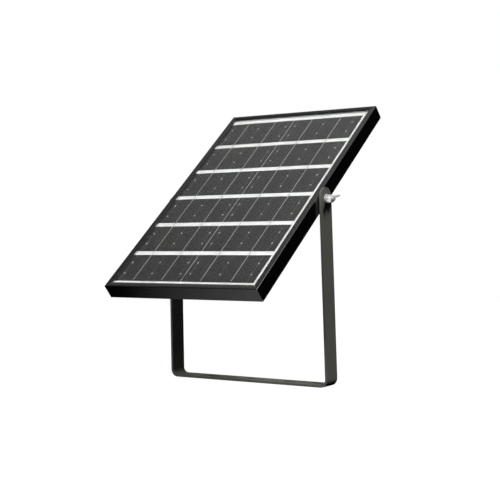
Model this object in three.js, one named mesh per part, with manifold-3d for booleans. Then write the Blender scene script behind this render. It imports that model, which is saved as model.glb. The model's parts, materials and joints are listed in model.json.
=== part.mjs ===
// Framed solar panel on a U-shaped tilt bracket, the sun-facing half of a small solar flood light.
// Millimetres, +Z up. The root origin is on the ground under the middle of the whole outline.
// The panel's own group has +Y up the slope and +Z out of the glass, and z = 0 on the frame's rear.

import * as THREE from 'three';
import { mergeVertices } from 'three/addons/utils/BufferGeometryUtils.js';
import Module from 'manifold-3d';

const wasm = await Module();
wasm.setup();

// ---------------------------------------------------------------- driving dimensions

const PANEL_WIDTH = 235;
const PANEL_LENGTH = 360;
const PANEL_DEPTH = 19.5;
const TILT_DEG = 38.5;

const PIVOT_HEIGHT = 233;
const PIVOT_ABOVE_REAR = 7.75; // pivot axis above the frame's rear plane
const CENTRE_ABOVE_PIVOT = 1.6; // panel centre up the slope from the pivot axis

const BRACKET_WIDTH = 248; // outside, at the ground
const TOE_IN = 2.8; // each arm leans in by this much at pivot height
const STRAP_WIDTH = 24;
const STRAP_THICK = 3;
const BEND_INNER = 7;
const ARM_ABOVE_PIVOT = { right: 14.4, left: 8.5 };
const BASE_SLOT = { length: 18, width: 8, spacing: 60 };
const BASE_HOLE_RADIUS = 5;

const M6 = { shank: 3, clear: 3.3, hexFlats: 10, headHeight: 4, nutHeight: 6 };

// frame section: inward distance across, height up from the rear plane
const WALL = 1.2;
const LIP_WIDTH = 8.2;
const LIP_FLAT = 4.2;
const LIP_DROP = 0.8;
const LIP_UNDERSIDE = 1.4;
const EDGE_CHAMFER = 0.6;
const LEDGE_WIDTH = 6;
const LEDGE_THICK = 1.1;
const FLANGE_WIDTH = 12;
const MITRE_GAP = 0.15;

// laminate stack, from the glass down
const SHEET_GAP = 0.1;
const GLASS_THICK = 2;
const RIBBON_THICK = 0.15;
const CELL_THICK = 0.2;
const BACKSHEET_THICK = 0.3;
const SEAL_THICK = 0.4;
const LAMINATE_INSET = 1.6; // glass edge from the frame's outer face

// cell field: six rows of two half cells, off centre in the frame
const CELL_ROWS = 6;
const CELL_WIDTH = 108.5;
const CELL_HEIGHT = 48.6;
const CELL_PITCH = 56.2;
const CELL_SPLIT = 1;
const FIELD_OFFSET = { x: -5.1, y: -1.5 };
const FIRST_BUSBAR = 7.1; // from a half cell's inner edge
const BUSBAR_PITCH = 22.7;
const RIBBON_WIDTH = 1.2;
const BUS_WIDTH = 5;
const BUS_INSET = 10; // a bus lies this far inside the field's upper or lower edge
const LEAD_SPACING = 9; // each lead drops this far from the middle
const LEAD_DROP = 5; // length of the tail that reaches into the junction box

// junction box behind the upper half of the panel
const BOX = { width: 66, length: 48, depth: 9.5, wall: 2, base: 1.5, corner: 4, y: 112 };
const BOX_SCREW_INSET = 6;
const GASKET_THICK = 0.8;
const LID_THICK = 2;
const LID_SCREW = { shank: 1.3, head: 2.7, headHeight: 1.5, length: 9.2, clear: 1.7 };
const SCREW_BOSS = { radius: 3.4, pilot: 1.5, depth: 7 };
const LEAD_WINDOW = { width: 28, length: 5 };
const TERMINAL = { width: 26, length: 10, height: 4.6, x: 8, y: -9, well: 1.8, wire: 1.1, screw: 1.5 };
const DIODE = { radius: 1.35, length: 5.2, wire: 0.4, reach: 9, y: 11, belowFloor: 3 };

// corner keys inside the frame's rear channel
const KEY = { leg: 24, thick: 2.2 };

const GAP = 0.3;
const CUTTER_PLAY = 1; // how far a cutting shape runs past the face it cuts
const ROUND = 32; // sides of a round part
const FINE_ROUND = 24;
const COARSE_ROUND = 16;

// ---------------------------------------------------------------- derived places

const radians = THREE.MathUtils.degToRad;
const toeAngle = Math.atan(TOE_IN / PIVOT_HEIGHT);
const armFace = BRACKET_WIDTH / 2 - TOE_IN; // outside of an arm at pivot height
const frameInside = PANEL_WIDTH / 2 - WALL;

const lipUnder = PANEL_DEPTH - LIP_UNDERSIDE;
const glassTop = lipUnder - SHEET_GAP;
const ribbonTop = glassTop - GLASS_THICK - SHEET_GAP;
const cellTop = ribbonTop - RIBBON_THICK - SHEET_GAP;
const busTop = cellTop - CELL_THICK - SHEET_GAP;
const backsheetTop = busTop - RIBBON_THICK - SHEET_GAP;
const backsheetUnder = backsheetTop - BACKSHEET_THICK;
const sealTop = backsheetUnder - SHEET_GAP;
const ledgeTop = sealTop - SEAL_THICK - SHEET_GAP;

const laminateWidth = PANEL_WIDTH - 2 * LAMINATE_INSET;
const laminateLength = PANEL_LENGTH - 2 * LAMINATE_INSET;
const fieldHeight = (CELL_ROWS - 1) * CELL_PITCH + CELL_HEIGHT;
const fieldBottom = FIELD_OFFSET.y - fieldHeight / 2;
const fieldTop = FIELD_OFFSET.y + fieldHeight / 2;
const busReach = CELL_SPLIT / 2 + FIRST_BUSBAR + 3.5 * BUSBAR_PITCH; // just past the outer ribbon

const boxTop = backsheetUnder - GAP;
const boxRim = boxTop - BOX.depth;
const gasketTop = boxRim - 0.2;
const lidTop = gasketTop - GASKET_THICK - 0.2;
const lidUnder = lidTop - LID_THICK;

const washerStart = armFace + GAP;
const FLAT_WASHER = { radius: 6.2, thick: 1.6, start: washerStart };
const SPRING_WASHER = { radius: 5.5, thick: 1.5, start: washerStart + 1.8 };
const WING_NUT = { start: washerStart + 3.5, hub: 6, base: 5.2, top: 4.3, reach: 9.5, ear: 2 };
const WING_ROLL_DEG = 20;
const BOLT_END = washerStart + 11.7;
const LEFT_HEAD = { radius: 6, height: 3 };
const LEFT_SHANK = 9; // inward from the frame's inner face
const THREAD_CHAMFER = 0.6;

const outlineRight = WING_NUT.start + WING_NUT.reach;
const outlineLeft = armFace + GAP + LEFT_HEAD.height;

// ---------------------------------------------------------------- materials

function paint(colour, roughness, metalness) {
  return new THREE.MeshStandardMaterial({ color: colour, roughness, metalness });
}

const finishes = {
  powderCoat: () => paint('#4b4c47', 0.55, 0.2),
  anodised: () => paint('#2b2b29', 0.45, 0.6),
  zinc: () => paint('#c8c9c6', 0.3, 0.9),
  aluminium: () => paint('#b4b6b8', 0.4, 0.9),
  glass: () => paint('#c9d4d6', 0.06, 0),
  silicon: () => paint('#3c3b3f', 0.35, 0.1),
  tinned: () => paint('#b9bab8', 0.35, 0.8),
  backsheet: () => paint('#ecebe8', 0.6, 0),
  sealant: () => paint('#dcdcd8', 0.8, 0),
  blackPlastic: () => paint('#1d1d1e', 0.5, 0),
  greyPlastic: () => paint('#8b8d8f', 0.55, 0),
  rubber: () => paint('#161616', 0.85, 0),
  brass: () => paint('#b79a55', 0.35, 0.9),
};

// ---------------------------------------------------------------- shape helpers

function toSolid(geometry) {
  const bare = geometry.clone();
  bare.deleteAttribute('normal');
  bare.deleteAttribute('uv');
  const merged = mergeVertices(bare, 1e-4);
  return new wasm.Manifold(new wasm.Mesh({
    numProp: 3,
    vertProperties: Float32Array.from(merged.attributes.position.array),
    triVerts: Uint32Array.from(merged.index.array),
  }));
}

function toGeometry(solid) {
  const mesh = solid.getMesh();
  const geometry = new THREE.BufferGeometry();
  geometry.setAttribute('position', new THREE.BufferAttribute(mesh.vertProperties, mesh.numProp));
  geometry.setIndex(new THREE.BufferAttribute(mesh.triVerts, 1));
  geometry.computeVertexNormals();
  return geometry;
}

function cut(geometry, ...tools) {
  return toGeometry(tools.reduce((solid, tool) => solid.subtract(toSolid(tool)), toSolid(geometry)));
}

function join(...parts) {
  return toGeometry(parts.map(toSolid).reduce((solid, part) => solid.add(part)));
}

function common(a, b) {
  return toGeometry(toSolid(a).intersect(toSolid(b)));
}

// a slab of an outline in the XY plane, from z = bottom up
function slab(shape, bottom, height) {
  const flat = { depth: height, bevelEnabled: false, curveSegments: 8 };
  return new THREE.ExtrudeGeometry(shape, flat).translate(0, 0, bottom);
}

function block(width, length, height, x, y, bottom) {
  return new THREE.BoxGeometry(width, length, height).translate(x, y, bottom + height / 2);
}

// a round or hexagonal bar along X, Y or Z, from start over length
function bar(axis, radius, start, length, sides = ROUND) {
  const geometry = new THREE.CylinderGeometry(radius, radius, length, sides);
  geometry.rotateY(Math.PI / sides).translate(0, start + length / 2, 0);
  if (axis === 'x') geometry.rotateZ(-Math.PI / 2);
  if (axis === 'z') geometry.rotateX(Math.PI / 2);
  return geometry;
}

function hexBar(axis, flats, start, length) {
  return bar(axis, flats / Math.sqrt(3), start, length, 6);
}

// a turned piece: profile points are [distance along the axis, radius]
function turned(axis, profile) {
  const points = profile.map(([along, radius]) => new THREE.Vector2(radius, along));
  const geometry = new THREE.LatheGeometry(points, ROUND);
  if (axis === 'x') geometry.rotateZ(-Math.PI / 2);
  if (axis === 'z') geometry.rotateX(Math.PI / 2);
  return geometry;
}

function ring(axis, outer, inner, start, thick) {
  return turned(axis, [
    [start, inner], [start, outer], [start + thick, outer], [start + thick, inner], [start, inner],
  ]);
}

function rectangle(width, length, corner = 0, x = 0, y = 0) {
  const shape = new THREE.Shape();
  const w = width / 2 - corner;
  const l = length / 2 - corner;
  shape.moveTo(x - w, y - l - corner);
  shape.lineTo(x + w, y - l - corner);
  if (corner) shape.absarc(x + w, y - l, corner, -Math.PI / 2, 0);
  shape.lineTo(x + w + corner, y + l);
  if (corner) shape.absarc(x + w, y + l, corner, 0, Math.PI / 2);
  shape.lineTo(x - w, y + l + corner);
  if (corner) shape.absarc(x - w, y + l, corner, Math.PI / 2, Math.PI);
  shape.lineTo(x - w - corner, y - l);
  if (corner) shape.absarc(x - w, y - l, corner, Math.PI, 1.5 * Math.PI);
  return shape;
}

function withHoles(shape, ...holes) {
  shape.holes.push(...holes);
  return shape;
}

function named(name, geometry, material) {
  const mesh = new THREE.Mesh(geometry, material());
  mesh.name = name;
  return mesh;
}

// ---------------------------------------------------------------- bracket

function strapOutline() {
  const outer = BEND_INNER + STRAP_THICK;
  const bendX = BRACKET_WIDTH / 2 - outer * (1 + Math.sin(toeAngle)) / Math.cos(toeAngle);
  const top = PIVOT_HEIGHT + ARM_ABOVE_PIVOT.right + STRAP_THICK;
  const armOutside = (z) => BRACKET_WIDTH / 2 - z * Math.tan(toeAngle);
  const armInside = (z) => armOutside(z) - STRAP_THICK / Math.cos(toeAngle);
  const shape = new THREE.Shape();
  shape.moveTo(-bendX, 0);
  shape.lineTo(bendX, 0);
  shape.absarc(bendX, outer, outer, -Math.PI / 2, toeAngle);
  shape.lineTo(armOutside(top), top);
  shape.lineTo(armInside(top), top);
  shape.absarc(bendX, outer, BEND_INNER, toeAngle, -Math.PI / 2, true);
  shape.absarc(-bendX, outer, BEND_INNER, -Math.PI / 2, -Math.PI - toeAngle, true);
  shape.lineTo(-armInside(top), top);
  shape.lineTo(-armOutside(top), top);
  shape.absarc(-bendX, outer, outer, Math.PI - toeAngle, 1.5 * Math.PI);
  return shape;
}

function roundedEndOutline(abovePivot) {
  const half = STRAP_WIDTH / 2;
  const shape = new THREE.Shape();
  shape.moveTo(-half, -half);
  shape.lineTo(half, -half);
  shape.absarc(0, PIVOT_HEIGHT + abovePivot - half, half, 0, Math.PI);
  return shape;
}

// the bent strap's side outline runs across and each arm's end outline runs from the middle out:
// the strap is what they share
function uBracket() {
  const runThrough = (outline, depth, curveSegments) => new THREE.ExtrudeGeometry(outline, {
    depth, bevelEnabled: false, curveSegments,
  }).translate(0, 0, -depth / 2).rotateX(Math.PI / 2);
  const bent = runThrough(strapOutline(), STRAP_WIDTH + 2 * CUTTER_PLAY, 10);
  const reach = BRACKET_WIDTH / 2 + 2 * CUTTER_PLAY;
  const ends = join(...[[1, ARM_ABOVE_PIVOT.right], [-1, ARM_ABOVE_PIVOT.left]].map(([side, above]) => (
    runThrough(roundedEndOutline(above), reach, 16)
      .rotateZ(Math.PI / 2)
      .translate(side * (reach / 2 - CUTTER_PLAY), 0, 0)
  )));
  const through = STRAP_THICK + 2 * CUTTER_PLAY;
  const slotCorner = BASE_SLOT.width / 2 - 0.01; // just under half the width keeps a short flat end
  const slots = [-1, 1].map((side) => {
    const outline = rectangle(BASE_SLOT.length, BASE_SLOT.width, slotCorner, side * BASE_SLOT.spacing);
    return slab(outline, -CUTTER_PLAY, through);
  });
  const centreHole = bar('z', BASE_HOLE_RADIUS, -CUTTER_PLAY, through, FINE_ROUND);
  const pivotHoles = bar('x', M6.clear, -BRACKET_WIDTH, 2 * BRACKET_WIDTH, FINE_ROUND);
  pivotHoles.translate(0, 0, PIVOT_HEIGHT);
  const strap = cut(common(bent, ends), ...slots, centreHole, pivotHoles);
  return named('u_bracket', strap, finishes.powderCoat);
}

// ---------------------------------------------------------------- panel frame

function railSection() {
  const ledgeUnder = ledgeTop - LEDGE_THICK;
  const corners = [
    [0, 0], [FLANGE_WIDTH, 0], [FLANGE_WIDTH, WALL], [WALL, WALL],
    [WALL, ledgeUnder], [LEDGE_WIDTH, ledgeUnder], [LEDGE_WIDTH, ledgeTop], [WALL, ledgeTop],
    [WALL, lipUnder], [LIP_WIDTH, lipUnder], [LIP_WIDTH, PANEL_DEPTH - LIP_DROP], [LIP_FLAT, PANEL_DEPTH],
    [EDGE_CHAMFER, PANEL_DEPTH], [0, PANEL_DEPTH - EDGE_CHAMFER],
  ];
  return new THREE.Shape(corners.map(([inward, height]) => new THREE.Vector2(inward, height)));
}

// one rail on the +X side, mitred at both ends: the section's inward distance shortens it
function mitredRail(length, width) {
  const geometry = new THREE.ExtrudeGeometry(railSection(), { depth: 1, bevelEnabled: false });
  const place = geometry.attributes.position;
  for (let i = 0; i < place.count; i += 1) {
    const end = place.getZ(i) > 0.5 ? 1 : -1;
    place.setZ(i, end * (length / 2 - place.getX(i) - MITRE_GAP));
  }
  const turn = new THREE.Matrix4().makeBasis(
    new THREE.Vector3(-1, 0, 0), new THREE.Vector3(0, 0, 1), new THREE.Vector3(0, 1, 0),
  );
  return geometry.applyMatrix4(turn).translate(width / 2, 0, 0);
}

function frameRails() {
  const pivotHole = (side) => bar('x', M6.clear, PANEL_WIDTH / 2 - 2 * WALL, 4 * WALL, FINE_ROUND)
    .translate(0, -side * CENTRE_ABOVE_PIVOT, PIVOT_ABOVE_REAR);
  const rails = [
    ['frame_rail_right', PANEL_LENGTH, PANEL_WIDTH, 0, 1],
    ['frame_rail_upper', PANEL_WIDTH, PANEL_LENGTH, 1, 0],
    ['frame_rail_left', PANEL_LENGTH, PANEL_WIDTH, 2, -1],
    ['frame_rail_lower', PANEL_WIDTH, PANEL_LENGTH, 3, 0],
  ];
  return rails.map(([name, length, width, quarterTurns, side]) => {
    const plain = mitredRail(length, width);
    const mesh = named(name, side ? cut(plain, pivotHole(side)) : plain, finishes.anodised);
    mesh.rotation.z = quarterTurns * Math.PI / 2;
    return mesh;
  });
}

function cornerKeys() {
  const { leg, thick } = KEY;
  const corners = [[0, 0], [-leg, 0], [-leg, -thick], [-thick, -thick], [-thick, -leg], [0, -leg]];
  const shape = new THREE.Shape(corners.map(([x, y]) => new THREE.Vector2(x, y)));
  const bottom = WALL + GAP;
  const height = ledgeTop - LEDGE_THICK - GAP - bottom;
  const inset = WALL + GAP;
  return [['upper_right', 1, 1], ['upper_left', -1, 1], ['lower_left', -1, -1], ['lower_right', 1, -1]]
    .map(([place, x, y], quarterTurns) => {
      const mesh = named(`corner_key_${place}`, slab(shape, bottom, height), finishes.aluminium);
      mesh.position.set(x * (PANEL_WIDTH / 2 - inset), y * (PANEL_LENGTH / 2 - inset), 0);
      mesh.rotation.z = quarterTurns * Math.PI / 2;
      return mesh;
    });
}

// ---------------------------------------------------------------- laminate

function frontGlass() {
  const sheet = slab(rectangle(laminateWidth, laminateLength, 1), glassTop - GLASS_THICK, GLASS_THICK);
  return named('front_glass', sheet, finishes.glass);
}

function halfCells() {
  const cells = [];
  for (let row = 0; row < CELL_ROWS; row += 1) {
    for (const side of [-1, 1]) {
      const x = FIELD_OFFSET.x + side * (CELL_SPLIT + CELL_WIDTH) / 2;
      const y = fieldBottom + CELL_HEIGHT / 2 + row * CELL_PITCH;
      const plate = block(CELL_WIDTH, CELL_HEIGHT, CELL_THICK, x, y, cellTop - CELL_THICK);
      const place = `row${row + 1}_${side < 0 ? 'left' : 'right'}`;
      cells.push(named(`solar_cell_${place}`, plate, finishes.silicon));
    }
  }
  return cells;
}

// each half has five busbars, and the second and fourth carry a ribbon
function tabbingRibbons() {
  const length = fieldHeight - 4;
  const bottom = ribbonTop - RIBBON_THICK;
  const ribbons = [];
  for (const side of [-1, 1]) {
    for (const busbar of [1, 3]) {
      const x = FIELD_OFFSET.x + side * (CELL_SPLIT / 2 + FIRST_BUSBAR + busbar * BUSBAR_PITCH);
      const strip = block(RIBBON_WIDTH, length, RIBBON_THICK, x, FIELD_OFFSET.y, bottom);
      const place = `${side < 0 ? 'left' : 'right'}_${busbar === 1 ? 'inner' : 'outer'}`;
      ribbons.push(named(`tabbing_ribbon_${place}`, strip, finishes.tinned));
    }
  }
  return ribbons;
}

function crossRibbon() {
  const y = fieldBottom + BUS_INSET;
  const strip = block(2 * busReach, BUS_WIDTH, RIBBON_THICK, FIELD_OFFSET.x, y, busTop - RIBBON_THICK);
  return named('cross_ribbon', strip, finishes.tinned);
}

// a lead runs in behind the top row, turns down to the junction box and drops through the backsheet
function leadRibbon(name, side) {
  const far = side * busReach;
  const near = side * LEAD_SPACING;
  const runY = fieldTop - BUS_INSET;
  const bottom = busTop - RIBBON_THICK;
  const run = block(Math.abs(far - near), BUS_WIDTH, RIBBON_THICK, (far + near) / 2, runY, bottom);
  const drop = block(BUS_WIDTH, runY - BOX.y, RIBBON_THICK, near, (runY + BOX.y) / 2, bottom);
  const tail = block(BUS_WIDTH, RIBBON_THICK, LEAD_DROP, near, BOX.y + RIBBON_THICK, busTop - LEAD_DROP);
  return named(name, join(run, drop, tail), finishes.tinned);
}

function backsheet() {
  const sheet = block(laminateWidth, laminateLength, BACKSHEET_THICK, 0, 0, backsheetUnder);
  const slots = [-1, 1].map((side) => block(
    BUS_WIDTH + 1, 1.6, BACKSHEET_THICK + 2 * CUTTER_PLAY,
    side * LEAD_SPACING, BOX.y, backsheetUnder - CUTTER_PLAY,
  ));
  return named('backsheet', cut(sheet, ...slots), finishes.backsheet);
}

function laminateSeal() {
  const width = LEDGE_WIDTH - LAMINATE_INSET;
  const inside = rectangle(laminateWidth - 2 * width, laminateLength - 2 * width);
  const outline = withHoles(rectangle(laminateWidth, laminateLength), inside);
  return named('laminate_seal', slab(outline, sealTop - SEAL_THICK, SEAL_THICK), finishes.sealant);
}

// ---------------------------------------------------------------- junction box

const boxScrewPlaces = [-1, 1].flatMap((x) => [-1, 1].map((y) => [
  x * (BOX.width / 2 - BOX_SCREW_INSET), y * (BOX.length / 2 - BOX_SCREW_INSET),
]));
const GLAND = {
  bore: 2.3, spigot: 3.3, thread: 3.5, flats: 9, flange: 2.5, threadLength: 4, cap: 6.7, reach: 3,
  z: boxTop - BOX.depth / 2 - 1,
};

// one bar along Z at each screw place
function atScrews(radius, bottom, height) {
  return boxScrewPlaces.map(([x, y]) => bar('z', radius, bottom, height, COARSE_ROUND).translate(x, y, 0));
}

function junctionBoxBody() {
  const shell = slab(rectangle(BOX.width, BOX.length, BOX.corner), boxRim, BOX.depth);
  const inside = rectangle(BOX.width - 2 * BOX.wall, BOX.length - 2 * BOX.wall, BOX.corner - BOX.wall);
  const cavity = slab(inside, boxRim - CUTTER_PLAY, BOX.depth - BOX.base + CUTTER_PLAY);
  const window = slab(rectangle(LEAD_WINDOW.width, LEAD_WINDOW.length), boxRim, BOX.depth + CUTTER_PLAY);
  const wireHole = bar('y', GLAND.spigot + 0.2, -BOX.length / 2 - 2, BOX.wall + 4, COARSE_ROUND);
  wireHole.translate(0, 0, GLAND.z);
  const bosses = atScrews(SCREW_BOSS.radius, boxRim, BOX.depth - BOX.base / 2);
  const pilots = atScrews(SCREW_BOSS.pilot, boxRim - CUTTER_PLAY, SCREW_BOSS.depth + CUTTER_PLAY);
  const body = cut(join(cut(shell, cavity, window, wireHole), ...bosses), ...pilots);
  return named('junction_box_body', body, finishes.blackPlastic);
}

// the gasket follows the box's wall, a little inside its outer face and a little past its inner one
function junctionBoxGasket() {
  const inset = 0.4;
  const band = BOX.wall - 0.3;
  const outer = rectangle(BOX.width - 2 * inset, BOX.length - 2 * inset, BOX.corner - inset);
  const inner = rectangle(BOX.width - 2 * band, BOX.length - 2 * band, BOX.corner - band);
  const ringSlab = slab(withHoles(outer, inner), gasketTop - GASKET_THICK, GASKET_THICK);
  return named('junction_box_gasket', ringSlab, finishes.rubber);
}

function junctionBoxLid() {
  const plate = slab(rectangle(BOX.width, BOX.length, BOX.corner), lidUnder, LID_THICK);
  const holes = atScrews(LID_SCREW.clear, lidUnder - CUTTER_PLAY, LID_THICK + 2 * CUTTER_PLAY);
  return named('junction_box_lid', cut(plate, ...holes), finishes.blackPlastic);
}

function lidScrews() {
  const { shank, head, headHeight, length } = LID_SCREW;
  const under = lidUnder - 0.1;
  const profile = [
    [under - headHeight, 0], [under - headHeight + 0.1, 0.52 * head], [under - 0.9, 0.89 * head],
    [under, head], [under, shank], [under + length - 0.7, shank], [under + length, 0],
  ];
  return boxScrewPlaces.map(([x, y], i) => {
    const mesh = named(`lid_screw_${i + 1}`, turned('z', profile), finishes.zinc);
    mesh.position.set(x, y, 0);
    return mesh;
  });
}

const terminalTop = boxTop - BOX.base - GAP;
const terminalBottom = terminalTop - TERMINAL.height;

function terminalBlock() {
  const { width, length, height, x, y, well, wire } = TERMINAL;
  const body = block(width, length, height, 0, y, terminalBottom);
  const wells = [-1, 1].map((side) => bar('z', well, terminalBottom - CUTTER_PLAY, 3.8, COARSE_ROUND)
    .translate(side * x, y, 0));
  const wires = [-1, 1].map((side) => bar('y', wire, -2 * length, 4 * length, COARSE_ROUND)
    .translate(side * x, 0, terminalTop - wire - 0.1));
  return named('terminal_block', cut(body, ...wells, ...wires), finishes.greyPlastic);
}

function terminalScrews() {
  return [['left', -1], ['right', 1]].map(([place, side]) => {
    const screw = bar('z', TERMINAL.screw, terminalBottom + GAP, 2, COARSE_ROUND);
    const mesh = named(`terminal_screw_${place}`, screw, finishes.brass);
    mesh.position.set(side * TERMINAL.x, TERMINAL.y, 0);
    return mesh;
  });
}

function blockingDiode() {
  const { radius, wire, reach } = DIODE;
  const half = DIODE.length / 2;
  const profile = [
    [-reach, 0], [-reach, wire], [-half, wire], [-half, radius],
    [half, radius], [half, wire], [reach, wire], [reach, 0],
  ];
  const mesh = named('blocking_diode', turned('x', profile), finishes.blackPlastic);
  mesh.position.set(0, DIODE.y, boxTop - BOX.base - DIODE.belowFloor);
  return mesh;
}

// the cable gland points down the panel; its pieces run along -Y from the box's wall
function cableGland() {
  const { bore, spigot, thread, flats, flange, threadLength } = GLAND;
  const wallFace = -BOX.length / 2 - 0.2;
  const threadEnd = wallFace - flange - threadLength;
  const capEnd = threadEnd - GLAND.reach;
  const longCut = 20;
  const body = cut(
    join(
      bar('y', spigot, wallFace - 1, BOX.wall + 2.6),
      hexBar('y', flats, wallFace - flange, flange),
      bar('y', thread, threadEnd, threadLength + 1),
    ),
    bar('y', bore, threadEnd - longCut / 4, longCut),
  );
  const seal = ring('y', spigot, bore, threadEnd - 2.2, 2);
  const cap = cut(
    hexBar('y', flats, capEnd, GLAND.cap),
    bar('y', thread + GAP, capEnd + 0.6, longCut),
    bar('y', bore + 0.1, capEnd - CUTTER_PLAY, longCut),
  );
  const meshes = [
    named('cable_gland_body', body, finishes.blackPlastic),
    named('cable_gland_seal', seal, finishes.rubber),
    named('cable_gland_cap', cap, finishes.blackPlastic),
  ];
  meshes.forEach((mesh) => mesh.position.set(0, 0, GLAND.z));
  return meshes;
}

// ---------------------------------------------------------------- pivot hardware, on the pivot axis

function rightBolt() {
  const headStart = frameInside - GAP - M6.headHeight;
  const bolt = join(
    hexBar('x', M6.hexFlats, headStart, M6.headHeight),
    turned('x', [
      [headStart + 1, 0], [headStart + 1, M6.shank], [BOLT_END - THREAD_CHAMFER, M6.shank],
      [BOLT_END, M6.shank - THREAD_CHAMFER], [BOLT_END, 0],
    ]),
  );
  return named('right_pivot_bolt', bolt, finishes.zinc);
}

function leftScrew() {
  const under = -armFace - GAP;
  const { radius, height } = LEFT_HEAD;
  const end = -frameInside + LEFT_SHANK;
  const profile = [
    [under - height, 0], [under - height + 0.2, 0.4 * radius], [under - 0.72 * height, 0.72 * radius],
    [under - 0.35 * height, 0.93 * radius], [under, radius], [under, M6.shank],
    [end - THREAD_CHAMFER, M6.shank], [end, M6.shank - THREAD_CHAMFER], [end, 0],
  ];
  return named('left_pivot_screw', turned('x', profile), finishes.zinc);
}

function leftLockNut() {
  const nut = cut(
    hexBar('x', M6.hexFlats, -frameInside + GAP, M6.nutHeight),
    bar('x', M6.shank + 0.15, -frameInside - CUTTER_PLAY, M6.nutHeight + 4 * CUTTER_PLAY),
  );
  return named('left_lock_nut', nut, finishes.zinc);
}

function flatWasher() {
  const { radius, thick, start } = FLAT_WASHER;
  return named('right_flat_washer', ring('x', radius, M6.clear, start, thick), finishes.zinc);
}

function springWasher() {
  const { radius, thick, start } = SPRING_WASHER;
  const split = block(thick + 2 * CUTTER_PLAY, 1, radius, start + thick / 2, 0, M6.shank - 1);
  const washer = cut(ring('x', radius, M6.clear, start, thick), split.rotateX(radians(35)));
  return named('right_spring_washer', washer, finishes.zinc);
}

// ear outline: distance out from the axis across, distance along the axis up
function earOutline() {
  const shape = new THREE.Shape();
  shape.moveTo(3.6, 0.5);
  shape.lineTo(5.4, 0.7);
  shape.quadraticCurveTo(10.5, 1.2, 12.9, 6.2);
  shape.absarc(10.7, 7.1, 2.4, -0.4, 2.3);
  shape.quadraticCurveTo(6.8, 5.6, 3.6, 5.4);
  return shape;
}

function wingNut() {
  const { start, hub, base, top, ear } = WING_NUT;
  const body = turned('x', [[0, 0], [0, base], [hub - 0.6, top], [hub, top - 0.6], [hub, 0]]);
  const ears = [1, -1].map((side) => {
    const plate = slab(earOutline(), -ear / 2, ear);
    const turn = new THREE.Matrix4().makeBasis(
      new THREE.Vector3(0, side, 0), new THREE.Vector3(1, 0, 0), new THREE.Vector3(0, 0, -side),
    );
    return plate.applyMatrix4(turn);
  });
  const nut = cut(join(body, ...ears), bar('x', M6.clear, -CUTTER_PLAY, hub + 3 * CUTTER_PLAY));
  const mesh = named('right_wing_nut', nut, finishes.zinc);
  mesh.position.set(start, 0, 0);
  mesh.rotation.x = radians(WING_ROLL_DEG);
  return mesh;
}

// ---------------------------------------------------------------- assembly

function group(...children) {
  const assembled = new THREE.Group();
  assembled.add(...children);
  return assembled;
}

const junctionBox = group(
  junctionBoxBody(), junctionBoxGasket(), junctionBoxLid(), ...lidScrews(),
  terminalBlock(), ...terminalScrews(), blockingDiode(), ...cableGland(),
);
junctionBox.position.y = BOX.y;

const panel = group(
  ...frameRails(), ...cornerKeys(),
  frontGlass(), ...tabbingRibbons(), ...halfCells(), crossRibbon(),
  leadRibbon('positive_lead_ribbon', 1), leadRibbon('negative_lead_ribbon', -1),
  backsheet(), laminateSeal(), junctionBox,
);
panel.position.set(0, CENTRE_ABOVE_PIVOT, -PIVOT_ABOVE_REAR);

const tilting = group(panel, rightBolt(), leftScrew(), leftLockNut());
tilting.position.z = PIVOT_HEIGHT;
tilting.rotation.x = radians(TILT_DEG);

const clamp = group(flatWasher(), springWasher(), wingNut());
clamp.position.z = PIVOT_HEIGHT;

const light = group(uBracket(), tilting, clamp);
light.position.x = (outlineLeft - outlineRight) / 2;

const root = group(light);
root.updateMatrixWorld(true);

export default root;
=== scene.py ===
"""Looks of a framed solar panel on a U-shaped tilt bracket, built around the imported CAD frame.

Lengths are in millimetres until a mesh is made; meshes and the scene are in metres.
Panel pieces are drawn in the panel's own axes: x across, y up the slope, z out of the glass,
with z = 0 on the rear plane of the frame.
"""

import json
import math
import random

import bmesh
import bpy
from mathutils import Matrix, Vector


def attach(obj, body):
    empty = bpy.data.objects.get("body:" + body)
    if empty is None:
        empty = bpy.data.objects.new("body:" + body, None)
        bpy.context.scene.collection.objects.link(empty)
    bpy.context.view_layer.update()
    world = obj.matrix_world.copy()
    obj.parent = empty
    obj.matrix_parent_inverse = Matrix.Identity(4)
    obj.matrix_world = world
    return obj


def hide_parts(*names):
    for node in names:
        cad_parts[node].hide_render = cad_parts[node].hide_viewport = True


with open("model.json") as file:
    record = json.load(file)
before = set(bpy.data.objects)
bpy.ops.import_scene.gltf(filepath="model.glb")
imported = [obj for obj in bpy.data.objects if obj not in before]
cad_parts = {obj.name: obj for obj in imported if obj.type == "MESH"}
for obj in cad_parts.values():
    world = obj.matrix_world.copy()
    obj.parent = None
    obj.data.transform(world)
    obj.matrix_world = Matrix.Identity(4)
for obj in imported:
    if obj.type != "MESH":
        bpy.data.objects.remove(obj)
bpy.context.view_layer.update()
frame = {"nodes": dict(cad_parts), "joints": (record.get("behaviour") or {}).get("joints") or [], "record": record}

MM = 0.001


def moved(x, y, z):
    """A shift in mm."""
    return Matrix.Translation(Vector((x, y, z)) * MM)


def turned(degrees, axis):
    return Matrix.Rotation(math.radians(degrees), 4, axis)


# ---------------- places taken from the frame

joints = {joint["name"]: joint for joint in frame["joints"]}
pivot = Vector(joints["panel_tilt"]["pos_m"])

TILT = math.radians(38.5)
CENTRE_ABOVE_PIVOT = 1.6
PIVOT_ABOVE_REAR = 7.75
LEVEL_AXLE = Matrix.Translation(pivot)  # x runs along the pivot axis
AXLE = LEVEL_AXLE @ Matrix.Rotation(TILT, 4, "X")  # the same, tilted with the panel
PANEL = AXLE @ moved(0, CENTRE_ABOVE_PIVOT, -PIVOT_ABOVE_REAR)
STAND = Matrix.Translation((pivot.x, 0, 0))  # the bracket's own middle plane is x = 0

# ---------------- sizes, mm

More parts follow.
